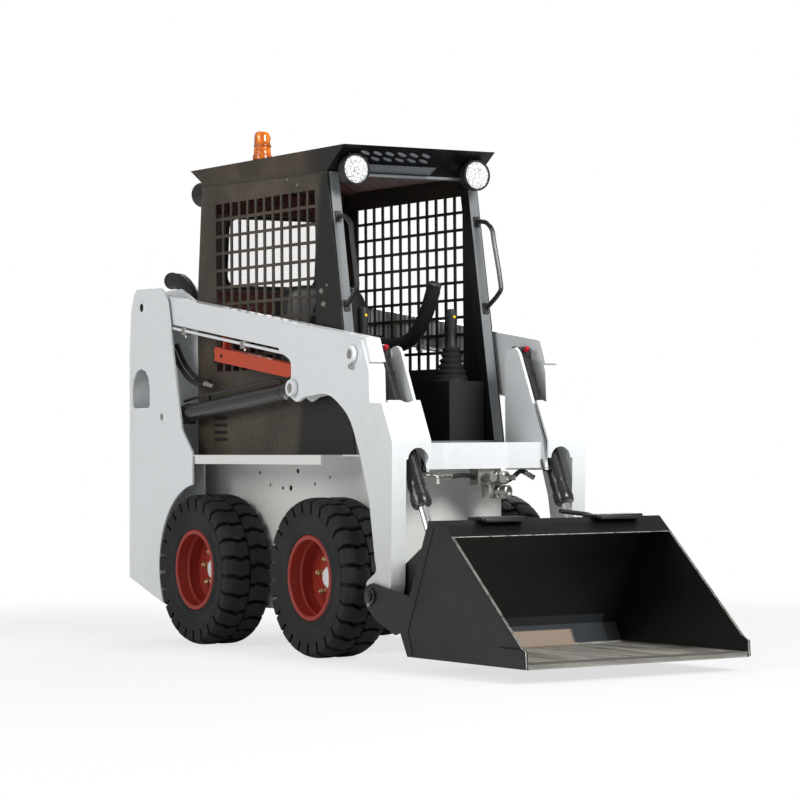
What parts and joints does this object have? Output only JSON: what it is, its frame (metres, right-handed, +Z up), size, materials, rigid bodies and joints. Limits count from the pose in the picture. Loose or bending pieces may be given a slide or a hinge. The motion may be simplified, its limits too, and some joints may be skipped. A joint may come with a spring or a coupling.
{
  "type": "skid steer loader",
  "caption": "Compact skid steer loader: tub frame on block tyres, rear uprights carrying cranked lift arms, open mesh cab with roof and lamps, low bucket on a hitch frame.",
  "frame": {"origin": "on the ground plane under the middle of the whole machine, bucket included", "axes": "+Z up, -Y towards the bucket at the front, +X towards the machine's left side"},
  "size_m": [0.92, 2.89, 2.0018],
  "materials": {
    "white_paint": "white enamel, scuffed and dusty from work",
    "black_paint": "semi-gloss black enamel",
    "cab_brown": "brownish black enamel, faded",
    "post_grey": "dark grey enamel with a dull sheen",
    "bucket_paint": "black enamel worn to steel on edges and floor",
    "tyre_rubber": "dusty black rubber",
    "rim_red": "red enamel",
    "worn_steel": "plated steel, dull",
    "rod_chrome": "hard chrome, polished",
    "lock_orange": "faded orange-red enamel",
    "amber_plastic": "moulded amber lens on a black foot",
    "lamp_glass": "clear lens in a black housing",
    "clear_glass": "clear pane",
    "black_plastic": "black moulding, fine grain",
    "lever_rubber": "soft black boot and grip",
    "seat_cover": "black vinyl cover",
    "exhaust_black": "heat-dulled black",
    "engine_grey": "plain grey casting"
  },
  "bodies": {
    "chassis": {"main_frame": "white_paint", "engine_block": "engine_grey", "rear_upright_right": "white_paint", "rear_upright_left": "white_paint", "front_axle_right": "black_paint", "front_axle_left": "black_paint", "rear_axle_right": "black_paint", "rear_axle_left": "black_paint", "cab_side_right": "cab_brown", "cab_side_left": "cab_brown", "cab_front_frame": "post_grey", "cab_roof": "black_paint", "cab_back": "cab_brown", "rear_window": "clear_glass", "seat_box": "black_plastic", "seat": "seat_cover", "joystick_right": "lever_rubber", "joystick_left": "lever_rubber", "work_lamp_right": "lamp_glass", "work_lamp_left": "lamp_glass", "rear_work_lamp": "black_plastic", "beacon": "amber_plastic", "grab_handle_right": "black_paint", "grab_handle_left": "black_paint", "exhaust_elbow": "exhaust_black"},
    "lift_arms": {"lift_arm_right": "white_paint", "lift_arm_left": "white_paint", "cross_beam": "white_paint", "coupler_block": "worn_steel", "arm_lock": "lock_orange"},
    "bucket_assembly": {"bucket": "bucket_paint", "hitch_frame": "bucket_paint"},
    "lift_barrels": {"lift_barrel_right": "black_paint", "lift_barrel_left": "black_paint"},
    "lift_rods": {"lift_rod_right": "rod_chrome", "lift_rod_left": "rod_chrome"},
    "tilt_barrels": {"tilt_barrel_right": "black_paint", "tilt_barrel_left": "black_paint"},
    "tilt_rods": {"tilt_rod_right": "rod_chrome", "tilt_rod_left": "rod_chrome"},
    "wheel_front_right": {"front_rim_right": "rim_red", "front_tyre_right": "tyre_rubber"},
    "wheel_front_left": {"front_rim_left": "rim_red", "front_tyre_left": "tyre_rubber"},
    "wheel_rear_right": {"rear_rim_right": "rim_red", "rear_tyre_right": "tyre_rubber"},
    "wheel_rear_left": {"rear_rim_left": "rim_red", "rear_tyre_left": "tyre_rubber"},
    "tail_door": {"rear_door": "white_paint"},
    "hood": {"engine_hood": "white_paint"},
    "restraint_bar": {"seat_bar": "seat_cover"}
  },
  "joints": [
    {"name": "wheel_front_right_spin", "type": "hinge", "parent": "chassis", "child": "wheel_front_right", "pos_m": [-0.356, -0.039, 0.2925], "axis": [1, 0, 0], "continuous": true},
    {"name": "wheel_front_left_spin", "type": "hinge", "parent": "chassis", "child": "wheel_front_left", "pos_m": [0.356, -0.039, 0.2925], "axis": [1, 0, 0], "continuous": true},
    {"name": "wheel_rear_right_spin", "type": "hinge", "parent": "chassis", "child": "wheel_rear_right", "pos_m": [-0.356, 0.8474, 0.2925], "axis": [1, 0, 0], "continuous": true},
    {"name": "wheel_rear_left_spin", "type": "hinge", "parent": "chassis", "child": "wheel_rear_left", "pos_m": [0.356, 0.8474, 0.2925], "axis": [1, 0, 0], "continuous": true},
    {"name": "lift_arm_raise", "type": "hinge", "parent": "chassis", "child": "lift_arms", "pos_m": [0, 1.316, 1.336], "axis": [-1, 0, 0], "range_deg": [0, 63]},
    {"name": "bucket_tilt", "type": "hinge", "parent": "lift_arms", "child": "bucket_assembly", "pos_m": [0, -0.442, 0.243], "axis": [1, 0, 0], "range_deg": [-20, 95]},
    {"name": "lift_barrel_swing", "type": "hinge", "parent": "chassis", "child": "lift_barrels", "pos_m": [0, 1.146, 0.892], "axis": [-1, 0, 0], "range_deg": [0, 58]},
    {"name": "lift_rod_slide", "type": "slide", "parent": "lift_barrels", "child": "lift_rods", "axis": [0, -0.9958, 0.0914], "range_m": [0, 0.485]},
    {"name": "tilt_barrel_swing", "type": "hinge", "parent": "lift_arms", "child": "tilt_barrels", "pos_m": [0, -0.315, 1.1], "axis": [1, 0, 0], "range_deg": [-3.1, 14.4]},
    {"name": "tilt_rod_slide", "type": "slide", "parent": "tilt_barrels", "child": "tilt_rods", "axis": [0, -0.4568, -0.8896], "range_m": [-0.071, 0.333]},
    {"name": "tail_door_swing", "type": "hinge", "parent": "chassis", "child": "tail_door", "pos_m": [0.275, 1.405, 0.7], "axis": [0, 0, -1], "range_deg": [0, 100]},
    {"name": "hood_lift", "type": "hinge", "parent": "chassis", "child": "hood", "pos_m": [0, 1.062, 1.214], "axis": [1, 0, 0], "range_deg": [0, 70]},
    {"name": "seat_bar_raise", "type": "hinge", "parent": "chassis", "child": "restraint_bar", "pos_m": [0, 0.69, 1.2], "axis": [-1, 0, 0], "range_deg": [0, 75]}
  ],
  "couplings": [
    {"joint": "lift_barrel_swing", "follows": "lift_arm_raise", "ratio": 0.919},
    {"joint": "lift_rod_slide", "follows": "lift_arm_raise", "m_per_rad": 0.4402},
    {"joint": "tilt_barrel_swing", "follows": "bucket_tilt", "ratio": 0.15},
    {"joint": "tilt_rod_slide", "follows": "bucket_tilt", "m_per_rad": 0.2}
  ]
}
